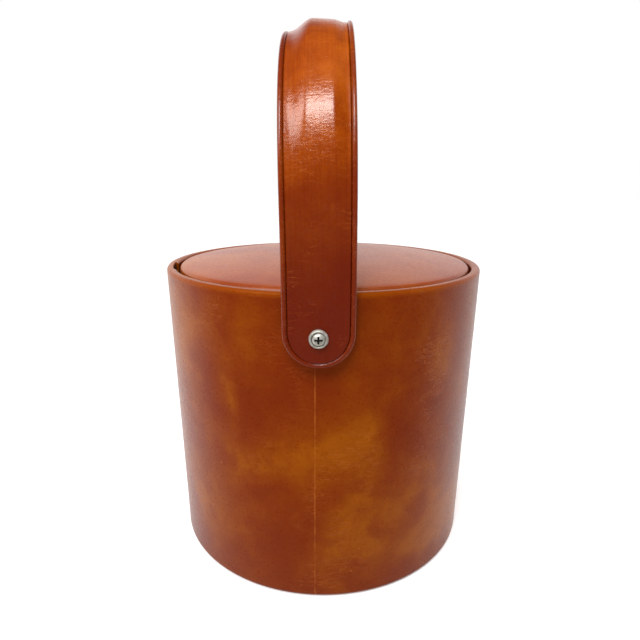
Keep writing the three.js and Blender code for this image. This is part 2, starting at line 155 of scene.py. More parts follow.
def finish_node(name, material):
    data = nodes[name].data
    data.materials.clear()
    data.materials.append(material)


def fibreboard_finish():
    f = Finish("fibreboard")
    at = f.place()
    fibres = f.noise(f.place((1, 6, 6)), 0.012, 5, 0.7, 1.5)
    flecks = f.noise(at, 0.0016, 4, 0.75)
    base = f.ramp(fibres, (0.3, dye(104, 76, 46)), (0.5, dye(134, 102, 66)), (0.72, dye(160, 128, 90)))
    colour = f.mix(f.remap(flecks, 0.58, 0.7), base, dye(74, 50, 30))
    f.relief((fibres, 0.0002), (flecks, 0.0001))
    return f.done(Base_Color=colour, Roughness=f.remap(flecks, 0.3, 0.7, 0.75, 0.95), Specular_IOR_Level=0.25)


fibreboard = fibreboard_finish()
finish_node("base_panel", fibreboard)
finish_node("ledge_ring", fibreboard)
finish_node("lid_board", fibreboard)


# Outer shell
# A moulded tube of dark brown plastic gives the bucket its shape. The cover is glued round it, and
# it shows only as the back of the finger notch, with its fine matt moulded texture.
def shell_finish():
    f = Finish("shell_plastic")
    at = f.place()
    texture = f.noise(at, 0.0006, 3, 0.6)
    cloud = f.noise(at, 0.03, 3, 0.5)
    colour = f.ramp(cloud, (0.3, dye(54, 44, 38)), (0.7, dye(78, 64, 54)))
    f.relief((texture, 0.00005))
    return f.done(Base_Color=colour, Roughness=f.remap(texture, 0.3, 0.7, 0.45, 0.62), Specular_IOR_Level=0.4)


finish_node("outer_shell", shell_finish())


# Insulating foam
# Cream open-cell foam: a disc under the liner, a jacket round it and a disc in the lid's tray. It
# is cut to size, packed in loose and gone a little yellow.
def foam_finish():
    f = Finish("foam")
    at = f.place()
    cells = f.cells(at, 0.0011)
    aged = f.noise(at, 0.04, 3, 0.5)
    base = f.ramp(aged, (0.3, dye(224, 204, 148)), (0.7, dye(240, 228, 188)))
    colour = f.mix(f.remap(cells, 0.1, 0.5, 0.45, 0), base, dye(186, 158, 98))
    f.relief((cells, 0.0004), (aged, 0.0003))
    return f.done(Base_Color=colour, Roughness=f.remap(cells, 0, 0.6, 1, 0.85), Specular_IOR_Level=0.15)


foam = foam_finish()
for part in ("foam_base", "foam_jacket", "lid_insulation"):
    finish_node(part, foam)


# Backing plates and nuts
# Inside the wall, at the front and the back, a zinc-plated steel plate and a hexagon nut take the
# pull of the handle's pivot screw. Plated metal with a faint bluish crystal pattern.
def zinc_finish():
    f = Finish("zinc_plated_steel")
    at = f.place()
    crystals = f.node("TexVoronoi", {"Vector": at, "Scale": 450.0}).outputs["Color"]
    scuffs = f.noise(f.place((1, 12, 1)), 0.006, 5, 0.7)
    spangle = f.mix(0.12, dye(186, 188, 186), crystals, "SOFT_LIGHT")
    colour = f.mix(f.remap(scuffs, 0.55, 0.7, 0, 0.5), spangle, dye(140, 142, 140))
    f.relief((scuffs, 0.00003))
    return f.done(Base_Color=colour, Metallic=1.0, Roughness=f.remap(scuffs, 0.3, 0.7, 0.28, 0.45))


zinc = zinc_finish()
for side in ("front", "back"):
    finish_node(side + "_backing_plate", zinc)
    finish_node(side + "_pivot_nut", zinc)


# Cover of the wall
# One sheet of semi-gloss leatherette, mottled amber and red-brown, wrapped round the shell with a
# butt seam at the front. It turns over the rim and is glued down inside; its foot is folded under.
def arc(radius, height, size, start, end, steps):
    """Points of an arc in a profile, from one angle to another, in degrees."""
    angles = np.radians(np.linspace(start, end, steps + 1))
    return [(radius + size * math.cos(a), height + size * math.sin(a)) for a in angles]


def straight(start, end, steps):
    """Points of a straight stretch of a profile, without its two ends."""
    return [tuple(np.array(start) + (np.array(end) - start) * i / steps) for i in range(1, steps)]


def woven(name, points, uv, material, sharp=40):
    """A piece from rows and columns of points, welded where they meet. It closes where ends coincide."""
    rows, columns = points.shape[:2]
    index = np.arange(rows * columns).reshape(rows, columns)
    quads = np.stack([index[:-1, :-1], index[:-1, 1:], index[1:, 1:], index[1:, :-1]], -1).reshape(-1, 4)
    mesh = bpy.data.meshes.new(name)
    mesh.from_pydata(points.reshape(-1, 3).tolist(), [], quads.tolist())
    layer = mesh.uv_layers.new(name="surface")
    layer.data.foreach_set("uv", uv.reshape(-1, 2)[quads.ravel()].ravel().astype(np.float32))
    work = bmesh.new()
    work.from_mesh(mesh)
    bmesh.ops.remove_doubles(work, verts=work.verts, dist=1e-6)
    bmesh.ops.recalc_face_normals(work, faces=work.faces)
    work.to_mesh(mesh)
    work.free()
    piece = bpy.data.objects.new(name, mesh)
    bpy.context.scene.collection.objects.link(piece)
    mesh.materials.append(material)
    shade(piece, sharp)
    return piece


def shade(piece, sharp=40):
    piece.data.shade_smooth()
    piece.data.set_sharp_from_angle(angle=math.radians(sharp))


def turned(name, profile, material, angles=None, move=None, sharp=40, centre=0.0):
    """A profile of (radius, height) turned about an upright axis, its points then shifted by move."""
    angles = np.linspace(0, 2 * math.pi, 129) if angles is None else angles
    radius, height = np.array(profile).T
    around, radius = np.meshgrid(angles, radius)
    height = np.repeat(height[:, None], len(angles), axis=1)
    if move:
        radius, height = move(around, radius, height)
    points = np.stack([centre + radius * np.cos(around), radius * np.sin(around), height], -1)
    steps = np.hypot(np.diff(radius[:, 0]), np.diff(height[:, 0]))
    along = np.concatenate([[0], np.cumsum(steps)])
    uv = np.stack([around * radius.max(), np.repeat(along[:, None], len(angles), axis=1)], -1)
    return woven(name, points, uv, material, sharp)


def bake(piece):
    """Makes the result of a piece's modifiers its own mesh."""
    bpy.context.view_layer.update()
    result = piece.evaluated_get(bpy.context.evaluated_depsgraph_get())
    mesh = bpy.data.meshes.new_from_object(result)
    piece.modifiers.clear()
    piece.data = mesh
    mesh.name = piece.name


def cut(piece, cutter, sharp=40):
    """Cuts one piece's space out of another, and throws the cutter away."""
    modifier = piece.modifiers.new("cut", "BOOLEAN")
    modifier.operation = "DIFFERENCE"
    modifier.solver = "EXACT"
    modifier.use_self = True
    modifier.material_mode = "TRANSFER" if cutter.data.materials else "INDEX"
    modifier.object = cutter
    bake(piece)
    bpy.data.objects.remove(cutter)
    shade(piece, sharp)


def unevenness(around, height, size):
    """Smooth random waves round a wall, from -1 to 1, the same each time."""
    flat = zip(around.ravel(), height.ravel())
    values = [noise.noise(Vector((math.cos(a), math.sin(a), h / size)) * 2.2) for a, h in flat]
    return np.array(values).reshape(around.shape)


def leatherette(name, clouds, gloss, wrinkle=(1, 1, 1), specular=0.3, streak=0.0, marks=1.0, height=None,
                fold=0.00006, swell=0.00004, crack=0.00006, seam=None, sheen=(1, 1, 1, 1)):
    """Embossed vinyl leather: clouded dye, fine grain with pores, creases that follow wrinkle, and small
    light specks.
    height tints it between two heights: where it starts and ends, its share at each, and its colour.
    seam is the X of a butt seam in front, along whose cut edges a lighter strip is painted as a highlight."""
    f = Finish(name)
    at = f.place()
    patches = f.noise(at, 0.06, 3, 0.45, 0.6)
    mottle = f.noise(at, 0.017, 4, 0.62, 0.4)
    speckle = f.noise(at, 0.0016, 4, 0.7)
    lines = f.noise(f.place((900, 14, 1), uv=True), 1.0, 3, 0.6)
    tone = f.calc("ADD", f.calc("MULTIPLY", patches, 0.62), f.calc("MULTIPLY", mottle, 0.28))
    tone = f.calc("ADD", tone, f.calc("MULTIPLY", speckle, 0.1))
    tone = f.calc("ADD", tone, f.calc("MULTIPLY", f.calc("SUBTRACT", lines, 0.5), streak))
    colour = f.ramp(f.remap(tone, 0.34, 0.66), *clouds)
    if height:
        start, end, share_start, share_end, tint = height
        z = f.node("SeparateXYZ", {"Vector": at}).outputs["Z"]
        colour = f.mix(f.remap(z, start, end, share_start, share_end), colour, tint)

    flow = f.place(wrinkle, uv=True)
    creases = f.noise(flow, 0.0065, 4, 0.55, 0.8)
    fine_creases = f.noise(flow, 0.0022, 3, 0.6, 0.5)
    lined = f.remap(f.noise(at, 0.03, 2, 0.5), 0.5, 0.66)
    distance = f.calc("ABSOLUTE", f.calc("SUBTRACT", creases, 0.5))
    crease = f.calc("MULTIPLY", f.remap(distance, 0.0, 0.02, 1, 0), lined)
    colour = f.mix(f.calc("MULTIPLY", crease, 0.16), colour, dye(206, 112, 44))

    grain = f.cells(at, 0.0009, "SMOOTH_F1")
    pores = f.remap(f.cells(at, 0.0021), 0.02, 0.14, 1, 0)
    pores = f.calc("MULTIPLY", pores, f.remap(f.noise(at, 0.009), 0.45, 0.65, 0, marks))
    colour = f.mix(f.calc("MULTIPLY", pores, 0.05), colour, dye(80, 20, 2))
    # Small lighter specks, in patches.
    light_specks = f.remap(f.cells(at, 0.013), 0.024, 0.04, 1, 0)
    light_specks = f.calc("MULTIPLY", light_specks, f.remap(f.noise(at, 0.05), 0.52, 0.57))
    colour = f.mix(f.calc("MULTIPLY", light_specks, 0.5 * marks), colour, dye(214, 140, 84))
    # Painted highlight: a lighter strip along both cut edges of the seam, in front.
    if seam is not None:
        where = f.node("SeparateXYZ", {"Vector": at}).outputs
        off = f.calc("ABSOLUTE", f.calc("SUBTRACT", where["X"], seam))
        strip = f.remap(off, 0.0001, 0.00035, 1, 0)
        in_front = f.remap(where["Y"], -0.05, -0.04, 1, 0)
        edge = f.calc("MULTIPLY", strip, in_front)
        edge = f.calc("MULTIPLY", edge, f.remap(mottle, 0.35, 0.65, 0.1, 0.45))
        colour = f.mix(edge, colour, dye(212, 124, 50))
    f.relief((grain, 0.00003), (speckle, 0.00003), (crease, crack), (fine_creases, fold), (pores, -0.000008),
             (mottle, swell))
    rough = f.remap(speckle, 0.3, 0.75, gloss - 0.04, gloss + 0.08)
    return f.done(Base_Color=colour, Roughness=rough, Specular_IOR_Level=specular, Specular_Tint=sheen)


wrap_low, wrap_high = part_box("body_wrap")
RIM_RADIUS = wrap_high.x
RIM_HEIGHT = wrap_high.z
HEM_LIFT = wrap_low.z
BASE_RADIUS = 0.0984
RIM_WIDTH = 0.0055
HEM_WIDTH = 0.011
TURN_IN = 0.009
COVER = 0.0012
FOLD = 0.0006
EDGE_ROUND = 0.002
WALL_WAVES = 0.00016
SEAM_DIRECTION = -math.pi / 2 - 0.0195
SEAM_DEPTH = 0.00012
SEAM_RIDGE = 0.00008
PLEATS = 0.00018
SCREW_BORE = 0.0021


def wall_profile():
    """Section of the cover: its outside from the hem over the rim and in, then its inside back."""
    inside = RIM_RADIUS - RIM_WIDTH
    hem = BASE_RADIUS - HEM_WIDTH
    tucked = RIM_HEIGHT - TURN_IN
    under = RIM_HEIGHT - COVER
    foot = arc(BASE_RADIUS - EDGE_ROUND, HEM_LIFT + EDGE_ROUND, EDGE_ROUND, -90, 0, 8)
    outer = arc(RIM_RADIUS - EDGE_ROUND, RIM_HEIGHT - EDGE_ROUND, EDGE_ROUND, 0, 90, 8)
    inner = arc(inside + EDGE_ROUND, RIM_HEIGHT - EDGE_ROUND, EDGE_ROUND, 90, 180, 8)
    profile = [(hem, HEM_LIFT + COVER / 2), (hem + COVER / 3, HEM_LIFT)]
    profile += straight(profile[-1], foot[0], 5) + foot + straight(foot[-1], outer[0], 48)
    profile += outer + straight(outer[-1], inner[0], 3) + inner + straight(inner[-1], (inside, tucked), 4)
    profile += [(inside, tucked), (inside + COVER, tucked)]
    profile += [(inside + COVER, under - FOLD), (inside + COVER + FOLD, under)]
    profile += [(RIM_RADIUS - COVER - FOLD, under), (RIM_RADIUS - COVER, under - FOLD)]
    profile += [(BASE_RADIUS - COVER, HEM_LIFT + COVER), (hem, HEM_LIFT + COVER), profile[0]]
    return profile


def wall_shape(around, radius, height):
    """Slight waves in the wall, the groove of the butt seam, and pleats in the fold under the base."""
    wall = (height > HEM_LIFT + EDGE_ROUND) & (height < RIM_HEIGHT - EDGE_ROUND)
    wall = wall & (radius > BASE_RADIUS - COVER / 2)
    radius = radius + wall * WALL_WAVES * unevenness(around, height, 0.09)
    off = (around - SEAM_DIRECTION + math.pi) % (2 * math.pi) - math.pi
    outside = radius > BASE_RADIUS - COVER / 2
    radius = radius - outside * SEAM_DEPTH * np.exp(-(off / 0.0016) ** 2)
    radius = radius + outside * SEAM_RIDGE * np.exp(-((off + 0.006) / 0.004) ** 2)
    hem = (height < HEM_LIFT + COVER / 4) & (radius < BASE_RADIUS - EDGE_ROUND * 1.5)
    waves = unevenness(around, around * 0.9, 0.06)
    return radius, height - hem * PLEATS * np.abs(waves)


def wall_angles():
    """Even columns, starting at the seam, with extra ones close to it for its groove."""
    even = np.linspace(0, 2 * math.pi, 257)
    close = np.array([0.0016, 0.0032, 0.005, 0.008, 0.012])
    return SEAM_DIRECTION + np.sort(np.concatenate([even, close, 2 * math.pi - close]))


NOTCH_DIRECTION = math.pi + 0.254
NOTCH_HALF = 0.0135
NOTCH_CORNER = 0.0025
NOTCH_BACK = RIM_RADIUS - RIM_WIDTH + 0.001
NOTCH_START = NOTCH_BACK - 0.009
NOTCH_BOW = 0.0005
NOTCH_FLARE = ((-0.0012, 0.0), (-0.0005, 0.0001), (-0.0001, 0.0003), (0.001, 0.0008))


def notch_cutter():
    """The finger notch in the rim's inner edge: a round-cornered pocket that flares at its mouth."""
    half = [(NOTCH_START, -NOTCH_HALF)]
    for angle in np.radians(np.linspace(0, 90, 7)):
        out = NOTCH_BACK - NOTCH_CORNER + NOTCH_CORNER * math.sin(angle)
        half.append((out, -NOTCH_HALF + NOTCH_CORNER - NOTCH_CORNER * math.cos(angle)))
    outline = np.array(half + [(NOTCH_BACK + NOTCH_BOW, 0)] + [(r, -t) for r, t in reversed(half)])
    away = outline - np.array([NOTCH_START, 0])
    away_from_middle = away / np.linalg.norm(away, axis=1)[:, None]
    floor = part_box("ice_liner")[1].z + 0.0003
    across, along = math.cos(NOTCH_DIRECTION), math.sin(NOTCH_DIRECTION)
    grid = []
    for height, flare in [(floor, 0.0)] + [(RIM_HEIGHT + up, flare) for up, flare in NOTCH_FLARE]:
        wide = outline + away_from_middle * flare
        x = wide[:, 0] * across - wide[:, 1] * along
        y = wide[:, 0] * along + wide[:, 1] * across
        ring = np.stack([x, y, np.full(len(x), height)], -1)
        grid.append(np.concatenate([ring, ring[:1]]))
    caps = [np.broadcast_to(grid[0].mean(0), grid[0].shape), np.broadcast_to(grid[-1].mean(0), grid[0].shape)]
    points = np.array([caps[0], *grid, caps[1]])
    return woven("notch_cutter", points, points[..., :2], None)


PIVOT_HEIGHT = next(j for j in frame["joints"] if j["name"] == "handle_swing")["pos_m"][2]


def on_pivots(piece):
    """Lays a piece made upright along the axis of the two pivots, with its top to the front."""
    piece.data.transform(Matrix.Translation((0, 0, PIVOT_HEIGHT)) @ Matrix.Rotation(math.pi / 2, 4, "X"))
    return piece


def rod_cutter(radius, reach=0.12):
    """A rod through both pivots, which cuts the screws' holes."""
    profile = [(0, -reach), (radius, -reach), (radius, reach), (0, reach)]
    return on_pivots(turned("rod_cutter", profile, None, np.linspace(0, 2 * math.pi, 33)))


WALL_CLOUDS = (
    (0.0, dye(106, 32, 4)),
    (0.35, dye(114, 41, 3)),
    (0.65, dye(121, 50, 2)),
    (1.0, dye(136, 67, 2)),
)
RIM_TINT = (RIM_HEIGHT - 0.004, RIM_HEIGHT - 0.001, 0.0, 0.4, dye(150, 72, 5))
wall_leather = leatherette("wall_leatherette", WALL_CLOUDS, 0.3, (0.4, 1.6, 1), 0.2, height=RIM_TINT,
                           fold=0.0001, seam=RIM_RADIUS * math.cos(SEAM_DIRECTION),
                           sheen=(1, 0.5, 0.15, 1))
body_cover = turned("wall_cover", wall_profile(), wall_leather, wall_angles(), wall_shape)
cut(body_cover, notch_cutter())
cut(body_cover, rod_cutter(SCREW_BORE))
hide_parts("body_wrap")
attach(body_cover, "bucket")


# Base pad
# A disc of dark pressed felt glued inside the folded hem, on which the bucket stands. Its edge is
# cut clean and a little rounded with wear.
def felt_finish():
    f = Finish("felt")
    at = f.place()
    hairs = f.noise(at, 0.0011, 6, 0.8, 2.5)
    pressed = f.noise(at, 0.02, 3, 0.5)
    colour = f.mix(f.remap(hairs, 0.35, 0.7), dye(34, 29, 26), dye(66, 58, 52))
    colour = f.mix(f.remap(pressed, 0.4, 0.7, 0, 0.4), colour, dye(26, 22, 20))
    f.relief((hairs, 0.0003))
    return f.done(Base_Color=colour, Roughness=f.remap(hairs, 0.3, 0.7, 1, 0.9), Sheen_Weight=0.3,
                  Specular_IOR_Level=0.1)


WORN_EDGE = 0.0004
CUT_EDGE = 0.0002
pad_low, pad_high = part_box("base_pad")
pad_profile = [(0, pad_low.z)] + straight((0, pad_low.z), (pad_high.x - WORN_EDGE, pad_low.z), 12)
pad_profile += arc(pad_high.x - WORN_EDGE, pad_low.z + WORN_EDGE, WORN_EDGE, -90, 0, 4)
pad_profile += arc(pad_high.x - CUT_EDGE, pad_high.z - CUT_EDGE, CUT_EDGE, 0, 90, 3)
pad_profile += [(0, pad_high.z)]
base_pad = turned("felt_pad", pad_profile, felt_finish())
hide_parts("base_pad")
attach(base_pad, "bucket")


# Ice liner
# The inner bucket that holds the ice, a smooth moulded cup of near-black plastic with a rounded
# floor. Its flange lies on the ledge ring. Fine scuffs from ice and tongs run round the wall.
def liner_finish():
    f = Finish("liner_plastic")
    at = f.place()
    scuffs = f.noise(f.place((1, 1, 14)), 0.01, 6, 0.75)
    haze = f.noise(at, 0.04, 3, 0.5)
    orange_peel = f.noise(at, 0.0024, 2, 0.5)
    colour = f.ramp(haze, (0.3, dye(30, 27, 25)), (0.7, dye(44, 40, 37)))
    colour = f.mix(f.remap(scuffs, 0.6, 0.68, 0, 0.25), colour, dye(108, 100, 92))
    f.relief((scuffs, 0.00001), (orange_peel, 0.00002))
    rough = f.calc("ADD", f.remap(haze, 0.3, 0.7, 0.22, 0.34), f.remap(scuffs, 0.55, 0.7, 0, 0.2))
    return f.done(Base_Color=colour, Roughness=rough, Specular_IOR_Level=0.5)


liner_low, liner_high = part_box("ice_liner")
LINER_WALL = 0.002
LINER_MOUTH = 0.0865
LINER_FLOOR = 0.08
LINER_CORNER = 0.008
FLANGE = 0.0017
FLANGE_LEAD = 0.0012
liner_plastic = liner_finish()


def liner_profile():
    """Section of the cup: its outside from the middle up to the flange, then its inside down again."""
    under = liner_high.z - FLANGE
    bottom = liner_low.z
    centre = LINER_FLOOR + LINER_WALL - LINER_CORNER
    outer = arc(centre, bottom + LINER_CORNER, LINER_CORNER, -90, 0, 10)
    inner = arc(centre, bottom + LINER_CORNER, LINER_CORNER - LINER_WALL, 0, -90, 10)
    lip = arc(LINER_MOUTH + FLANGE_LEAD, liner_high.z - FLANGE_LEAD, FLANGE_LEAD, 90, 180, 6)
    neck = (LINER_MOUTH + LINER_WALL, under)
    profile = [(0, bottom)] + straight((0, bottom), outer[0], 8) + outer
    profile += straight(outer[-1], neck, 16) + [neck, (liner_high.x, under)]
    profile += [(liner_high.x, liner_high.z)] + lip + straight(lip[-1], inner[0], 20) + inner
    return profile + straight(inner[-1], (0, bottom + LINER_WALL), 8) + [(0, bottom + LINER_WALL)]


ice_liner = turned("liner", liner_profile(), liner_plastic)
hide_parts("ice_liner")
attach(ice_liner, "bucket")


# Handle core
# A strip of spring steel bent to an arch with straight limbs and rounded ends, drilled for the
# pivots. It stiffens the strap; years of lifting have tipped its crown and leant it to the left.
STRAP_HALF = 0.0181
STRAP_TIP = 0.146
LIMB_REACH = 0.1074
LIMB_TOP = 0.217
ARCH_RISE = 0.1012
ARCH_POWER = 2.5
CROWN_TWIST = math.radians(8.6)
CROWN_LEAN = 0.003

turn = np.linspace(0, math.pi, 2401)
arch_y = -LIMB_REACH * np.sign(np.cos(turn)) * np.abs(np.cos(turn)) ** (2 / ARCH_POWER)
arch_z = LIMB_TOP + ARCH_RISE * np.clip(np.sin(turn), 0, 1) ** (2 / ARCH_POWER)
arch_y = np.concatenate([[-LIMB_REACH], arch_y, [LIMB_REACH]])
arch_z = np.concatenate([[STRAP_TIP], arch_z, [STRAP_TIP]])
walk = np.concatenate([[0], np.cumsum(np.hypot(np.diff(arch_y), np.diff(arch_z)))])
STRAP_LENGTH = walk[-1]


def crown(along):
    """How far up the arch a place along the strap is: 0 on the limbs and 1 at the top."""
    return np.clip((np.interp(along, walk, arch_z) - LIMB_TOP) / ARCH_RISE, 0, 1) ** (ARCH_POWER / 2)


def on_strap(across, along, inset):
    """Points of the strap: across it, along it from its front tip, and in from the arch's outer line."""
    y = np.interp(along, walk, arch_y)
    z = np.interp(along, walk, arch_z)
    out_y = np.sign(y) * (np.abs(y) / LIMB_REACH) ** (ARCH_POWER - 1) / LIMB_REACH
    out_z = (np.maximum(z - LIMB_TOP, 0) / ARCH_RISE) ** (ARCH_POWER - 1) / ARCH_RISE
    length = np.hypot(out_y, out_z)
    lift = across * np.sin(CROWN_TWIST * crown(along)) - inset
    rise = np.maximum(z - PIVOT_HEIGHT, 0) / (LIMB_TOP + ARCH_RISE - PIVOT_HEIGHT)
    x = across - CROWN_LEAN * rise ** 2
    return np.stack([x, y + out_y / length * lift, z + out_z / length * lift], -1)


def edge_distance(across, along):
    """Distance in from the strap's outline, which is round at both ends."""
    beyond = np.maximum(np.maximum(STRAP_HALF - along, along - (STRAP_LENGTH - STRAP_HALF)), 0)
    return STRAP_HALF - np.hypot(across, beyond)


def strap_layer(name, half, top, bottom, material, columns=9, rows=200):
    """A layer of the strap with round ends. top and bottom give its faces' insets at a place."""
    ends = np.radians(np.linspace(0, 90, 15))
    near = STRAP_HALF - half * np.cos(ends)
    along = np.concatenate([near, np.linspace(STRAP_HALF, STRAP_LENGTH - STRAP_HALF, rows)[1:-1],
                            STRAP_LENGTH - near[::-1]])
    wide = np.concatenate([half * np.sin(ends), np.full(rows - 2, half), half * np.sin(ends[::-1])])
    spread = np.linspace(-1, 1, columns)
    across = wide[:, None] * spread[None, :]
    along = np.repeat(along[:, None], columns, axis=1)
    upper = on_strap(across, along, top(across, along))
    lower = on_strap(across, along, bottom(across, along))
    points = np.concatenate([upper, lower[:, ::-1], upper[:, :1]], axis=1)
    flat = np.stack([across, along], -1)
    uv = np.concatenate([flat, flat[:, ::-1], flat[:, :1]], axis=1)
    return woven(name, points, uv, material)


def rounded(inset, depth, size, half):
    """A face at one inset whose edge falls away by a quarter round."""
    def face(across, along):
        gap = np.clip(edge_distance(across, along) - (STRAP_HALF - half), 0, size)
        fall = size - np.sqrt(np.maximum(size ** 2 - (size - gap) ** 2, 0))
        return inset + fall * depth / size
    return face


def level(inset):
    """A face at one inset all over."""
    return lambda across, along: np.full_like(across, inset)


STRAP_BORE = 0.0024
CORE_HALF = 0.0146
CORE_TOP = 0.0028
CORE_UNDER = 0.0038
CORE_EDGE = 0.0003
core_top = rounded(CORE_TOP, CORE_EDGE, CORE_EDGE, CORE_HALF)
handle_core = strap_layer("handle_core_strip", CORE_HALF, core_top, level(CORE_UNDER), zinc)
cut(handle_core, rod_cutter(STRAP_BORE))
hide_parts("handle_core")
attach(handle_core, "handle")


# Handle padding
# A strip of foam glued on the core, thin down the limbs and built up over the crown, where the hand
# holds it. It is squashed more on the right than on the left.
FACE_HALF = 0.0156
FACE_INSET = 0.0004
FACE_THICKNESS = 0.0012
PADDING_HALF = FACE_HALF - 0.0012
PADDING_UNDER = 0.0027
PLATEAU_FOOT = 0.0138
PLATEAU_LEFT = -0.0052
PLATEAU_RIGHT = 0.0082
PAD_START = 0.0005
PAD_BODY = 0.0022
CREST_LEFT = 0.0018
CREST_RIGHT = -0.0006
SOFTENING = np.linspace(-0.0009, 0.0009, 7)


def eased(share):
    """A share from 0 to 1 with soft ends."""
    return share * share * (3 - 2 * share)


def pad_rise(across, along):
    """How far the padding lifts the face: a flat-topped ridge that tips and moves right at the crown."""
    up = crown(along)
    body = np.clip(up / 0.42, 0, 1) ** 1.1
    apex = eased(np.clip((up - 0.5) / 0.45, 0, 1))
    left_edge = PLATEAU_LEFT + 0.0022 * apex
    right_edge = PLATEAU_RIGHT + 0.001 * apex
    left_high = PAD_START + PAD_BODY * body + CREST_LEFT * apex
    right_high = PAD_START + PAD_BODY * body + CREST_RIGHT * apex
    total = 0
    for shift in SOFTENING:
        x = across + shift
        left = np.clip((x + PLATEAU_FOOT) / (left_edge + PLATEAU_FOOT), 0, 1)
        left = left + (eased(left) - left) * (0.35 + 0.65 * apex)
        right = np.clip((PLATEAU_FOOT - x) / (PLATEAU_FOOT - right_edge), 0, 1)
        share = np.clip((x - left_edge) / (right_edge - left_edge), 0, 1)
        total = total + np.minimum(left, right) * (left_high + (right_high - left_high) * share)
    return total / len(SOFTENING)


def padding_top(across, along):
    return FACE_INSET + FACE_THICKNESS + 0.0001 - pad_rise(across, along)


handle_padding = strap_layer("handle_foam", PADDING_HALF, padding_top, level(PADDING_UNDER), foam,
                             columns=25, rows=180)
cut(handle_padding, rod_cutter(STRAP_BORE))
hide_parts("handle_padding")
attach(handle_padding, "handle")


# Handle facing
# The same leatherette, glossier from handling, stretched over the foam and sewn down along both
# edges. Fine creases run across it, and the dye has worn in streaks along its length.
FACE_EDGE = 0.0009
PIVOT_PLACE = PIVOT_HEIGHT - STRAP_TIP
PRESSED_DEPTH = 0.0002
PRESSED_REACH = 0.0075
PRESSED_RING = 0.0052
RING_HEIGHT = 0.00028
WAVE_HEIGHT = 0.00012
RIPPLE_HEIGHT = 0.00004


def ruffle(across, along, crosswise, lengthwise, seed):
    """Smooth random heights over the strap, from -1 to 1. Higher counts make them finer that way."""
    height = np.vectorize(lambda x, s: noise.noise(Vector((x * crosswise, s * lengthwise, seed))))
    return height(across, along)


def face_top(across, along):
    """The padded face, pressed in under each washer with a low ring pushed up round it."""
    pressed = np.minimum(np.hypot(across, along - PIVOT_PLACE),
                         np.hypot(across, STRAP_LENGTH - PIVOT_PLACE - along))
    dimple = RING_HEIGHT * np.exp(-((pressed - PRESSED_RING) / 0.0016) ** 2)
    dimple = dimple - PRESSED_DEPTH * np.exp(-(pressed / PRESSED_REACH) ** 4)
    wave = WAVE_HEIGHT * ruffle(across, along, 120, 55, 3.0)
    ripple = RIPPLE_HEIGHT * ruffle(across, along, 60, 420, 9.0)
    lifted = pad_rise(across, along) + dimple + wave + ripple
    return rounded(FACE_INSET, FACE_EDGE, FACE_EDGE, FACE_HALF)(across, along) - lifted


def face_under(across, along):
    return np.maximum(FACE_INSET + FACE_THICKNESS - pad_rise(across, along), face_top(across, along) + 0.0004)


HANDLE_CLOUDS = (
    (0.0, dye(124, 42, 2)),
    (0.35, dye(138, 55, 2)),
    (0.65, dye(152, 66, 2)),
    (1.0, dye(170, 81, 3)),
)
# Painted shade, in part: the facing turns darker red low down the limbs, between heights 0.18 and 0.3. Part
# of this is the dye, and part stands in for the shade where less light reaches.
HANDLE_LOW_DYE_AND_SHADE = (0.18, 0.3, 0.85, 0.0, dye(88, 17, 2))
handle_leather = leatherette("handle_leatherette", HANDLE_CLOUDS, 0.19, (0.5, 1.7, 1), specular=0.55,
                             streak=0.14, marks=0.4, height=HANDLE_LOW_DYE_AND_SHADE, fold=0.00009, swell=0.00002,
                             crack=0.00001, sheen=(1, 0.88, 0.82, 1))
handle_facing = strap_layer("handle_face", FACE_HALF, face_top, face_under, handle_leather,
                            columns=49, rows=300)
cut(handle_facing, rod_cutter(STRAP_BORE))
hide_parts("handle_facing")
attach(handle_facing, "handle")


# Handle lining
# A strip of brown backing cloth that closes the underside of the strap, where the fingers go. It is
# sewn through with the piping and lies flat against the core.
def lining_finish():
    f = Finish("lining_cloth")
    flow = f.place(uv=True)
    parts = f.node("SeparateXYZ", {"Vector": flow})
    thread_turn = 2 * math.pi / 0.0008
    warp = f.calc("SINE", f.calc("MULTIPLY", parts.outputs["X"], thread_turn))
    weft = f.calc("SINE", f.calc("MULTIPLY", parts.outputs["Y"], thread_turn))
    weave = f.remap(f.calc("MULTIPLY", warp, weft), -1, 1)
    soiled = f.noise(flow, 0.02, 4, 0.6)
    threads = f.noise(flow, 0.0009, 3, 0.6)
    base = f.ramp(soiled, (0.3, dye(92, 42, 18)), (0.7, dye(128, 64, 30)))
    colour = f.mix(f.calc("MULTIPLY", weave, 0.4), base, dye(60, 24, 10))
    f.relief((weave, 0.00008), (threads, 0.00005))
    return f.done(Base_Color=colour, Roughness=f.remap(threads, 0.3, 0.7, 0.7, 0.9), Sheen_Weight=0.15,
                  Specular_IOR_Level=0.2)


LINING_HALF = 0.0173
LINING_TOP = 0.00392
LINING_UNDER = 0.0052
LINING_EDGE = 0.0008
lining_under = rounded(LINING_UNDER, -LINING_EDGE, LINING_EDGE, LINING_HALF)
handle_lining = strap_layer("handle_backing", LINING_HALF, level(LINING_TOP), lining_under,
                            lining_finish(), columns=21)
cut(handle_lining, rod_cutter(STRAP_BORE))
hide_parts("handle_lining")
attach(handle_lining, "handle")


# Handle piping
# A cord covered in leatherette, sewn between the face and the lining all the way round the strap.
# It stands up as a round bead beside a dark groove; below it the folded edge bulges a little.
def edge_loop(inward, step=0.0022):
    """Places round the strap at a distance in from its outline, and the way out of it at each."""
    radius = STRAP_HALF - inward
    count = int((STRAP_LENGTH - 2 * STRAP_HALF) / step)
    side = np.linspace(STRAP_HALF, STRAP_LENGTH - STRAP_HALF, count)
    ends = np.radians(np.linspace(0, 180, 31))[1:-1]
    places = []
    for way, limb, end in ((1, side, STRAP_LENGTH - STRAP_HALF), (-1, side[::-1], STRAP_HALF)):
        places += [(way * radius, s, way, 0) for s in limb]
        for angle in ends:
            x = way * math.cos(angle)
            y = way * math.sin(angle)
            places.append((radius * x, end + radius * y, x, y))
    return np.array(places + places[:1])


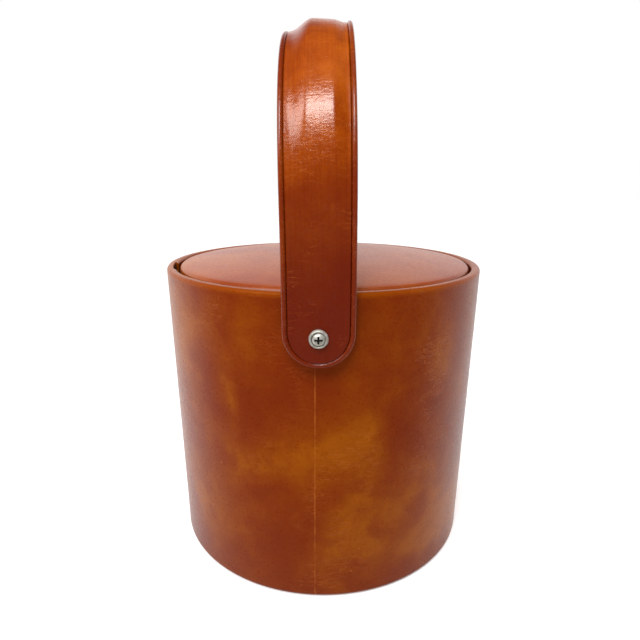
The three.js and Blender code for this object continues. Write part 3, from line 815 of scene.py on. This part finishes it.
BEAD = 0.0013
loop = edge_loop(BEAD)
bead = [(BEAD * math.cos(a), BEAD - BEAD * math.sin(a)) for a in np.radians(np.linspace(-25, 205, 17))]
fold = [(-0.0011, 0.0014), (-0.0042, 0.0019), (-0.0042, 0.0024), (-0.0014, 0.0027), (-0.0012, 0.0039),
        (0.0008, 0.0039), (0.00118, 0.0035), (0.0012, 0.003), (0.00095, 0.00245)]
section = np.array(bead + fold + bead[:1])
across = loop[:, None, 0] + loop[:, None, 2] * section[None, :, 0]
along = loop[:, None, 1] + loop[:, None, 3] * section[None, :, 0]
inset = np.repeat(section[None, :, 1], len(loop), axis=0)
length = np.concatenate([[0], np.cumsum(np.hypot(np.diff(loop[:, 0]), np.diff(loop[:, 1])))])
girth = np.concatenate([[0], np.cumsum(np.hypot(*np.diff(section, axis=0).T))])
piping_uv = np.stack(np.meshgrid(girth, length), -1)
PIPING_CLOUDS = (
    (0.0, dye(102, 28, 2)),
    (0.4, dye(114, 38, 2)),
    (0.7, dye(126, 50, 3)),
    (1.0, dye(142, 66, 4)),
)
# Painted shade, in part: the piping turns darker red low down the limbs, as the facing does. Part of this is
# the dye, and part stands in for shade.
PIPING_LOW_DYE_AND_SHADE = (0.17, 0.28, 0.5, 0.0, dye(102, 30, 2))
piping_leather = leatherette("piping_leatherette", PIPING_CLOUDS, 0.22, (1.2, 2.2, 1), specular=0.4,
                             marks=0.0, height=PIPING_LOW_DYE_AND_SHADE, fold=0.00003, swell=0.0)
handle_piping = woven("handle_bead", on_strap(across, along, inset), piping_uv, piping_leather, 60)
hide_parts("handle_piping")
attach(handle_piping, "handle")


# Handle stitching
# One row of brown thread lies deep in the groove between face and piping, and shows again as a
# neater row on the lining. Each stitch is a short sunk length of thread.
def node_tree(name, inputs):
    """An empty Geometry Nodes tree with named inputs, and functions that add a node and end it."""
    tree = bpy.data.node_groups.new(name, "GeometryNodeTree")
    tree.interface.new_socket("Geometry", in_out="OUTPUT", socket_type="NodeSocketGeometry")
    for label, kind in inputs:
        tree.interface.new_socket(label, in_out="INPUT", socket_type="NodeSocket" + kind)

    def add(kind, links=None, **settings):
        return add_node(tree, kind, links, **settings)

    def end(placed, finish):
        """Makes the copies real, gives them their finish and ends the tree."""
        real = add("GeometryNodeRealizeInstances", {"Geometry": placed}).outputs["Geometry"]
        dressed = add("GeometryNodeSetMaterial", {"Geometry": real, "Material": finish})
        add("NodeGroupOutput", {"Geometry": dressed.outputs["Geometry"]})
        return tree

    return tree, add, end


def grown(name, tree, values):
    """A plain mesh piece grown by a tree from its named input values."""
    piece = bpy.data.objects.new(name, bpy.data.meshes.new(name))
    bpy.context.scene.collection.objects.link(piece)
    modifier = piece.modifiers.new("grow", "NODES")
    modifier.node_group = tree
    for socket in tree.interface.items_tree:
        if socket.in_out == "INPUT":
            modifier[socket.identifier] = values[socket.name]
    bake(piece)
    shade(piece)
    return piece


def stitch_tree():
    """Stitches at an even pitch along a path, each a stretched ball of thread."""
    _, add, end = node_tree("stitches", [("Path", "Object"), ("Pitch", "Float"), ("Length", "Float"),
                                         ("Thread", "Float"), ("Finish", "Material")])
    given = add("NodeGroupInput").outputs
    path = add("GeometryNodeObjectInfo", {"Object": given["Path"]}).outputs["Geometry"]
    line = add("GeometryNodeMeshToCurve", {"Mesh": path}).outputs["Curve"]
    spaced = add("GeometryNodeResampleCurve", {"Curve": line, "Length": given["Pitch"]}, mode="LENGTH")
    ball = add("GeometryNodeMeshUVSphere", {"Segments": 8, "Rings": 6, "Radius": 0.5}).outputs["Mesh"]
    tangent = add("GeometryNodeInputTangent").outputs["Tangent"]
    facing = add("FunctionNodeAlignRotationToVector", {"Vector": tangent}, axis="X").outputs["Rotation"]
    size = add("ShaderNodeCombineXYZ", {"X": given["Length"], "Y": given["Thread"], "Z": given["Thread"]})
    placed = add("GeometryNodeInstanceOnPoints", {"Points": spaced.outputs["Curve"], "Instance": ball,
                                                  "Rotation": facing, "Scale": size.outputs["Vector"]})
    return end(placed.outputs["Instances"], given["Finish"])


def thread_finish():
    f = Finish("thread")
    twist = f.noise(f.place(), 0.0004, 3, 0.6)
    colour = f.ramp(twist, (0.3, dye(70, 20, 8)), (0.7, dye(112, 46, 20)))
    f.relief((twist, 0.00005))
    return f.done(Base_Color=colour, Roughness=f.remap(twist, 0.3, 0.7, 0.55, 0.75), Sheen_Weight=0.2)


def stitch_path(inward, inset):
    """A loop of edges round the strap for a row of stitches to follow."""
    places = edge_loop(inward)[:-1]
    points = on_strap(places[:, 0], places[:, 1], np.full(len(places), inset))
    count = len(points)
    mesh = bpy.data.meshes.new("stitch_path")
    mesh.from_pydata(points.tolist(), [(i, (i + 1) % count) for i in range(count)], [])
    path = bpy.data.objects.new("stitch_path", mesh)
    bpy.context.scene.collection.objects.link(path)
    return path


STITCH = {"Pitch": 0.0027, "Length": 0.0022, "Thread": 0.0005}
STITCH_ROWS = (("stitches_in_groove", 0.0026, 0.0016), ("stitches_on_lining", 0.003, 0.0052))
stitches = stitch_tree()
thread = thread_finish()
for row_name, inward, inset_depth in STITCH_ROWS:
    path = stitch_path(inward, inset_depth)
    stitching = grown(row_name, stitches, {"Path": path, "Finish": thread, **STITCH})
    bpy.data.objects.remove(path)
    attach(stitching, "handle")


# Pivot spacers
# A thin natural nylon washer at each pivot keeps the strap clear of the wall, so that the handle
# swings without rubbing the cover.
def pair_tree():
    """Copies of a piece about the bucket's axis, each turned on from the last."""
    _, add, end = node_tree("pivot_pair", [("Piece", "Object"), ("Count", "Int"), ("Turn", "Float"),
                                           ("Finish", "Material")])
    given = add("NodeGroupInput").outputs
    one = add("GeometryNodeObjectInfo", {"Object": given["Piece"]}).outputs["Geometry"]
    spots = add("GeometryNodePoints", {"Count": given["Count"]}).outputs["Points"]
    index = add("GeometryNodeInputIndex").outputs["Index"]
    angle = add("ShaderNodeMath", {0: index, 1: given["Turn"]}, operation="MULTIPLY").outputs[0]
    turned_by = add("ShaderNodeCombineXYZ", {"Z": angle}).outputs["Vector"]
    placed = add("GeometryNodeInstanceOnPoints", {"Points": spots, "Instance": one, "Rotation": turned_by})
    return end(placed.outputs["Instances"], given["Finish"])


pairs = pair_tree()


def pivot_pair(name, one, material, part):
    """Sets a piece made at the front pivot there and, turned round, at the back one."""
    both = grown(name, pairs, {"Piece": one, "Count": 2, "Turn": math.pi, "Finish": material})
    bpy.data.objects.remove(one)
    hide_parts("front_" + part, "back_" + part)
    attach(both, "bucket")
    return both


def at_pivot(name, profile, sharp=40):
    """A profile of (radius, distance out from the bucket's axis) turned about the front pivot."""
    return on_pivots(turned(name, profile, None, np.linspace(0, 2 * math.pi, 49), sharp=sharp))


def nylon_finish():
    f = Finish("nylon")
    cloud = f.noise(f.place(), 0.004, 4, 0.6)
    colour = f.ramp(cloud, (0.3, dye(196, 186, 164)), (0.7, dye(224, 216, 198)))
    f.relief((cloud, 0.00004))
    return f.done(Base_Color=colour, Roughness=f.remap(cloud, 0.3, 0.7, 0.4, 0.55), Subsurface_Weight=0.1)


spacer_high = -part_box("front_pivot_spacer")[0].y
spacer_low = -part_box("front_pivot_spacer")[1].y
SPACER_FACE = 0.0068
SPACER_RADIUS = 0.007
spacer_profile = [(SCREW_BORE, spacer_low), (SPACER_FACE, spacer_low)]
spacer_profile += [(SPACER_RADIUS, spacer_low + 0.0002), (SPACER_FACE, spacer_high)]
spacer_profile += [(SCREW_BORE, spacer_high), (SCREW_BORE, spacer_low)]
spacer = at_pivot("spacer", spacer_profile)
pivot_pair("pivot_spacers", spacer, nylon_finish(), "pivot_spacer")


# Finishing washers
# A pressed cup washer of nickel-plated steel under each screw head, with a rolled outer edge that
# stands on the leatherette and a countersunk seat.
def nickel_finish():
    f = Finish("nickel_plate")
    at = f.place()
    swirl = f.noise(at, 0.0007, 4, 0.7, 1.0)
    tarnish = f.noise(at, 0.003, 4, 0.6)
    colour = f.ramp(tarnish, (0.35, dye(176, 172, 158)), (0.65, dye(218, 216, 208)))
    f.relief((swirl, 0.000008))
    return f.done(Base_Color=colour, Metallic=0.6, Roughness=f.remap(swirl, 0.3, 0.7, 0.32, 0.44))


nickel = nickel_finish()
washer_foot = -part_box("front_finishing_washer")[1].y
washer_top = -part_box("front_finishing_washer")[0].y
CUP_RADIUS = 0.0049
HEAD_RADIUS = 0.0032
FOOT_ROUND = 0.0005
LIP_ROUND = 0.00045
cup = [(SCREW_BORE, washer_foot), (CUP_RADIUS - 0.0003, washer_foot)]
cup += arc(CUP_RADIUS - FOOT_ROUND, washer_foot + FOOT_ROUND, FOOT_ROUND, -60, 30, 6)
cup += arc(CUP_RADIUS - 0.00085, washer_top - LIP_ROUND, LIP_ROUND, 30, 150, 8)
cup += [(HEAD_RADIUS + 0.0004, washer_top - 0.0012), (SCREW_BORE, washer_foot + 0.0002), cup[0]]
pivot_pair("finishing_washers", at_pivot("washer", cup, 60), nickel, "finishing_washer")


# Pivot screws
# Nickel-plated machine screws with a raised countersunk head and a cross recess. They pass through
# washer, strap, spacer and wall into the nut, and are the axle on which the handle swings.
screw_end = -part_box("front_pivot_screw")[1].y
screw_crest = -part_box("front_pivot_screw")[0].y
SHANK = 0.0018
PITCH = 0.0007
THREAD_DEPTH = 0.00028
PLAIN_LENGTH = 0.012
HEAD_EDGE = 0.00015
seat = washer_top - 0.0008
shank_top = washer_foot + 0.0004
threads = int((shank_top - PLAIN_LENGTH - screw_end) / PITCH)
screw_profile = [(0, screw_end), (SHANK - 0.0005, screw_end), (SHANK - 0.0002, screw_end + 0.0003)]
for i in range(threads):
    root = screw_end + 0.0004 + i * PITCH
    screw_profile += [(SHANK - THREAD_DEPTH, root), (SHANK, root + PITCH * 0.4)]
    screw_profile += [(SHANK, root + PITCH * 0.55)]
screw_profile += [(SHANK, shank_top), (HEAD_RADIUS - 0.0001, seat), (HEAD_RADIUS, seat + HEAD_EDGE)]
dome = [(HEAD_RADIUS * math.cos(a), seat + HEAD_EDGE + (screw_crest - seat - HEAD_EDGE) * math.sin(a))
        for a in np.radians(np.linspace(0, 90, 13))]
screw = at_pivot("screw", screw_profile + dome[1:-1] + [(0, screw_crest)], 30)


def recess_cutter(material):
    """The cross recesses of both screws: in each, two tapered blades that meet deep in the head."""
    blades = bmesh.new()
    levels = (
        (screw_crest + 0.0005, 0.00215, 0.00052),
        (screw_crest - 0.0006, 0.002, 0.0005),
        (screw_crest - 0.0026, 0.001, 0.0004),
    )
    for side, along_x in ((-1, True), (-1, False), (1, True), (1, False)):
        corners = []
        for out, half_length, half_width in levels:
            a, b = (half_length, half_width) if along_x else (half_width, half_length)
            ring = ((-a, -b), (a, -b), (a, b), (-a, b))
            corners.append([blades.verts.new((x, side * out, PIVOT_HEIGHT + z)) for x, z in ring])
        for low, high in zip(corners, corners[1:]):
            for i in range(4):
                blades.faces.new([low[i], low[(i + 1) % 4], high[(i + 1) % 4], high[i]])
        blades.faces.new(corners[0])
        blades.faces.new(corners[-1][::-1])
    bmesh.ops.recalc_face_normals(blades, faces=blades.faces)
    mesh = bpy.data.meshes.new("recess")
    blades.to_mesh(mesh)
    blades.free()
    mesh.materials.append(material)
    cutter = bpy.data.objects.new("recess", mesh)
    bpy.context.scene.collection.objects.link(cutter)
    return cutter


# The walls of the cross recesses get a near-black finish, which darkens the crosses.
def near_black_recess_finish():
    f = Finish("recess_grime")
    recess_mottle = f.noise(f.place(), 0.0005, 3, 0.6)
    colour = f.ramp(recess_mottle, (0.3, dye(20, 16, 12)), (0.7, dye(52, 44, 36)))
    f.relief((recess_mottle, 0.00003))
    return f.done(Base_Color=colour, Metallic=0.3, Roughness=f.remap(recess_mottle, 0.3, 0.7, 0.7, 0.85))


both_screws = pivot_pair("pivot_screws", screw, nickel, "pivot_screw")
cut(both_screws, recess_cutter(near_black_recess_finish()), 30)


# Lid tray
# A shallow moulded tray of the liner's plastic makes the underside of the lid. Its flange rests on
# the liner's flange, and it holds a disc of foam.
LID_CENTRE = sum(p.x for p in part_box("lid_cover")) / 2
tray_low, tray_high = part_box("lid_tray")
TRAY_WALL = 0.0013
TRAY_MOUTH = 0.084
TRAY_FOOT = 0.083
TRAY_CORNER = 0.0025
FLANGE_LIP = 0.001
BEAD_INSIDE = 0.0294
BEAD_OUTSIDE = 0.0306


def tray_profile():
    """Section of the tray, with a moulded bead round the middle of its underside."""
    flange = (tray_high.x - tray_low.x) / 2
    under = tray_high.z - FLANGE_LIP
    corner = (TRAY_FOOT - TRAY_CORNER, tray_low.z + TRAY_CORNER)
    outer = arc(*corner, TRAY_CORNER, -90, -5, 8)
    inner = arc(*corner, TRAY_CORNER - TRAY_WALL, -5, -90, 6)
    ring = arc(0.03, tray_low.z + 0.0004, 0.0006, -150, -30, 4)
    profile = [(0, tray_low.z), (BEAD_INSIDE, tray_low.z)] + ring[1:-1] + [(BEAD_OUTSIDE, tray_low.z)]
    profile += straight((BEAD_OUTSIDE, tray_low.z), outer[0], 8) + outer
    profile += [(TRAY_MOUTH, under), (flange, under)]
    profile += [(flange, tray_high.z), (TRAY_MOUTH - TRAY_WALL, tray_high.z)] + inner
    return profile + [(0, tray_low.z + TRAY_WALL)]


lid_tray = turned("tray", tray_profile(), liner_plastic, centre=LID_CENTRE)
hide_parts("lid_tray")
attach(lid_tray, "lid")


# Lid foam
# A domed pad of soft foam between the board and the cover, cut round and bevelled at its edge. It
# gives the lid its crown.
cover_low, cover_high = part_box("lid_cover")
LID_RADIUS = (cover_high.x - cover_low.x) / 2
LID_ROLL = 0.003
LID_SHOULDER = 0.1836
DOME_POWER = 2.4
LID_COVER = 0.0011
LID_START = 0.0016


def lid_dome(inset, low=0.0, steps=26):
    """Half section of the padded top from its edge to the middle, in from the cover's outside."""
    roll = arc(LID_RADIUS - LID_ROLL, LID_SHOULDER - LID_ROLL, LID_ROLL - inset, 0, 75, 8)
    radius, height = roll[-1]
    crest = cover_high.z - inset - low
    shares = [1 - i / steps for i in range(1, steps + 1)]
    return roll + [(radius * s, crest - (crest - height) * s ** DOME_POWER) for s in shares]


foam_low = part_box("lid_foam")[0].z
foam_inset = LID_COVER + 0.0003
foam_profile = [(0, foam_low)] + straight((0, foam_low), (LID_RADIUS - foam_inset, foam_low), 10)
foam_profile += [(LID_RADIUS - foam_inset, foam_low)] + lid_dome(foam_inset, 0.0004)
lid_foam = turned("lid_pad", foam_profile, foam, centre=LID_CENTRE)
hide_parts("lid_foam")
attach(lid_foam, "lid")


# Lid cover
# A disc of the leatherette drawn over the foam and the board, with its edge pleated under and glued.
# The foam pushes it up into a low, even crown with a tight roll round the edge.
HEM_RADIUS = 0.082
HEM_ROUND = 0.001
GATHERS = 0.00012
AIR_FRAMES = 20
LID_CLOUDS = (
    (0.0, dye(132, 50, 8)),
    (0.35, dye(142, 59, 8)),
    (0.65, dye(148, 66, 8)),
    (1.0, dye(156, 77, 10)),
)


def lid_shape(around, radius, height):
    """Pleats in the hem under the lid, and shallow gathers where the leatherette rounds its edge."""
    waves = np.abs(unevenness(around, around * 0.8, 0.05))
    hem = (height < cover_low.z + 0.0003) & (radius < LID_RADIUS - 0.002)
    edge = np.exp(-((radius - LID_RADIUS + 0.001) / 0.003) ** 2) * (height > cover_low.z + 0.004)
    return radius - edge * GATHERS * waves, height + hem * PLEATS * waves


def puffed(sheet, pressure, most):
    """Cloth simulation: air pressure under the sheet swells it, held at its edge, by most at the most."""
    trial = sheet.copy()
    trial.data = sheet.data.copy()
    bpy.context.scene.collection.objects.link(trial)
    held = trial.vertex_groups.new(name="held")
    start = np.array([v.co for v in trial.data.vertices])
    out = np.hypot(start[:, 0] - LID_CENTRE, start[:, 1])
    loose = np.clip((LID_RADIUS - LID_ROLL - out) / 0.006, 0, 1)
    loose = loose * (start[:, 2] > LID_SHOULDER - LID_ROLL)
    for i, share in enumerate(loose):
        held.add([i], float(1 - share), "REPLACE")
    cloth = trial.modifiers.new("air", "CLOTH")
    cloth.settings.quality = 6
    cloth.settings.vertex_group_mass = "held"
    cloth.settings.use_pressure = True
    cloth.settings.uniform_pressure_force = pressure
    cloth.settings.effector_weights.gravity = 0
    cloth.collision_settings.use_collision = False
    cloth.point_cache.frame_start = 1
    cloth.point_cache.frame_end = AIR_FRAMES
    for number in range(1, AIR_FRAMES + 1):
        bpy.context.scene.frame_set(number)
    result = trial.evaluated_get(bpy.context.evaluated_depsgraph_get())
    moved = np.array([v.co for v in result.data.vertices]) - start
    bpy.data.objects.remove(trial)
    bpy.context.scene.frame_set(1)
    furthest = np.linalg.norm(moved, axis=1).max()
    moved *= min(1.0, most / max(furthest, 1e-9))
    sheet.data.vertices.foreach_set("co", (start + moved).astype(np.float32).ravel())
    sheet.data.update()


start_low = LID_START
hem_start = (HEM_RADIUS, cover_low.z)
cover_profile = [hem_start] + straight(hem_start, (LID_RADIUS - HEM_ROUND, cover_low.z), 6)
cover_profile += arc(LID_RADIUS - HEM_ROUND, cover_low.z + HEM_ROUND, HEM_ROUND, -90, 0, 4)
cover_profile += straight(cover_profile[-1], (LID_RADIUS, LID_SHOULDER - LID_ROLL), 4)
cover_profile += lid_dome(0.0, start_low)
lid_leather = leatherette("lid_leatherette", LID_CLOUDS, 0.32, (0.8, 0.8, 1), specular=0.39, marks=0.5)
lid_cover = turned("lid_top", cover_profile, lid_leather, move=lid_shape, centre=LID_CENTRE)
puffed(lid_cover, 4.0, LID_START)
thicken = lid_cover.modifiers.new("thickness", "SOLIDIFY")
thicken.thickness = LID_COVER
thicken.offset = -1
bake(lid_cover)
shade(lid_cover, 70)
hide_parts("lid_cover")
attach(lid_cover, "lid")


# Studio
# A plain white floor and surround. Two window-like lights above the front make the highlights on
# the handle and the lid; the room is bright behind and beside the bucket and dim in front of it.
def floor_finish():
    """White, but dark in front to what mirrors it, so that the wall keeps its colour there."""
    f = Finish("floor")
    grain = f.noise(f.place(), 0.004, 3, 0.5)
    colour = f.ramp(grain, (0.3, dye(243, 243, 243)), (0.7, dye(248, 248, 248)))
    f.done(Base_Color=colour, Roughness=0.9, Specular_IOR_Level=0.0, Emission_Color=(1, 1, 1, 1),
           Emission_Strength=0.2)
    dark = f.node("BsdfDiffuse", {"Color": dye(30, 30, 30)})
    mirrored = f.node("LightPath").outputs["Is Glossy Ray"]
    front = f.remap(f.node("SeparateXYZ", {"Vector": f.place()}).outputs["Y"], -0.22, -0.02, 1, 0)
    share = f.calc("MULTIPLY", mirrored, front)
    shown = f.node("MixShader", {0: share, 1: f.shader.outputs["BSDF"], 2: dark.outputs["BSDF"]})
    fill(f.tree, f.output, {"Surface": shown.outputs["Shader"]})
    return f.material


FLOOR_RADIUS = 6.0
floor_angles = np.linspace(0, 2 * math.pi, 65)
floor = turned("floor", [(FLOOR_RADIUS, 0.0), (0.0, 0.0)], floor_finish(), floor_angles)
floor.location.z = cad_low.z - 0.0001


def room():
    """Light from all round: bright low down behind and at the sides, dim in front and above."""
    world = bpy.data.worlds.new("room")
    bpy.context.scene.world = world
    world.use_nodes = True
    tree = world.node_tree
    tree.nodes.clear()

    def add(kind, inputs=None, **settings):
        return add_node(tree, "ShaderNode" + kind, inputs, **settings)

    direction = add("SeparateXYZ", {"Vector": add("TexCoord").outputs["Generated"]})
    behind = smooth_step(tree, direction.outputs["Y"], -0.55, 0.3, 0.0, 1.0)
    low = smooth_step(tree, direction.outputs["Z"], 0.3, 0.8, 1.0, 0.02)
    glow = add("Math", {0: behind, 1: low}, operation="MULTIPLY").outputs[0]
    glow = smooth_step(tree, glow, 0.0, 1.0, 0.04, 1.15)
    seen = add("LightPath").outputs["Is Camera Ray"]
    strength = add("Mix", {0: seen, 2: glow, 3: 1.0}).outputs[0]
    background = add("Background", {"Color": (1, 1, 1, 1), "Strength": strength})
    add("OutputWorld", {"Surface": background.outputs["Background"]})


room()


def window(name, direction, width, height, power):
    """A soft rectangular light off in one direction, aimed at the front of the handle's crown."""
    place = CROWN_FRONT + WINDOW_DISTANCE * Vector(direction)
    data = bpy.data.lights.new(name, "AREA")
    data.shape = "RECTANGLE"
    data.size = width
    data.size_y = height
    data.energy = power
    light = bpy.data.objects.new(name, data)
    light.location = place
    light.rotation_euler = (CROWN_FRONT - place).to_track_quat("-Z", "Y").to_euler()
    bpy.context.scene.collection.objects.link(light)


CROWN_FRONT = Vector((0, -0.1, 0.265))
WINDOW_DISTANCE = 0.9
window("window", (-0.11, -0.67, 0.735), 0.3, 0.36, 6.2)
window("side_window", (-0.62, -0.5, 0.6), 0.3, 0.45, 3.8)
sky_data = bpy.data.lights.new("ceiling", "SUN")
sky_data.energy = 2.35
sky_data.angle = math.radians(70)
ceiling = bpy.data.objects.new("ceiling", sky_data)
ceiling.visible_glossy = False
bpy.context.scene.collection.objects.link(ceiling)
bpy.context.scene.view_settings.view_transform = "Standard"

CAMERA_DISTANCE = 0.3465
CAMERA_HEIGHT = 0.2384
ROUND_BY = math.radians(1.1)
HEADING = math.radians(1.44)
PITCH_DOWN = math.radians(15.683)
ROLL = math.radians(0.226)
camera_x = CAMERA_DISTANCE * math.sin(ROUND_BY)
camera_y = -CAMERA_DISTANCE * math.cos(ROUND_BY)
camera_data = bpy.data.cameras.new("camera")
camera_data.lens = 29.06
camera_data.sensor_width = 36
camera_data.clip_start = 0.01
camera = bpy.data.objects.new("camera", camera_data)
camera.matrix_world = (
    Matrix.Translation((camera_x, camera_y, CAMERA_HEIGHT))
    @ Matrix.Rotation(HEADING, 4, "Z")
    @ Matrix.Rotation(math.pi / 2 - PITCH_DOWN, 4, "X")
    @ Matrix.Rotation(ROLL, 4, "Z")
)
bpy.context.scene.collection.objects.link(camera)
bpy.context.scene.camera = camera
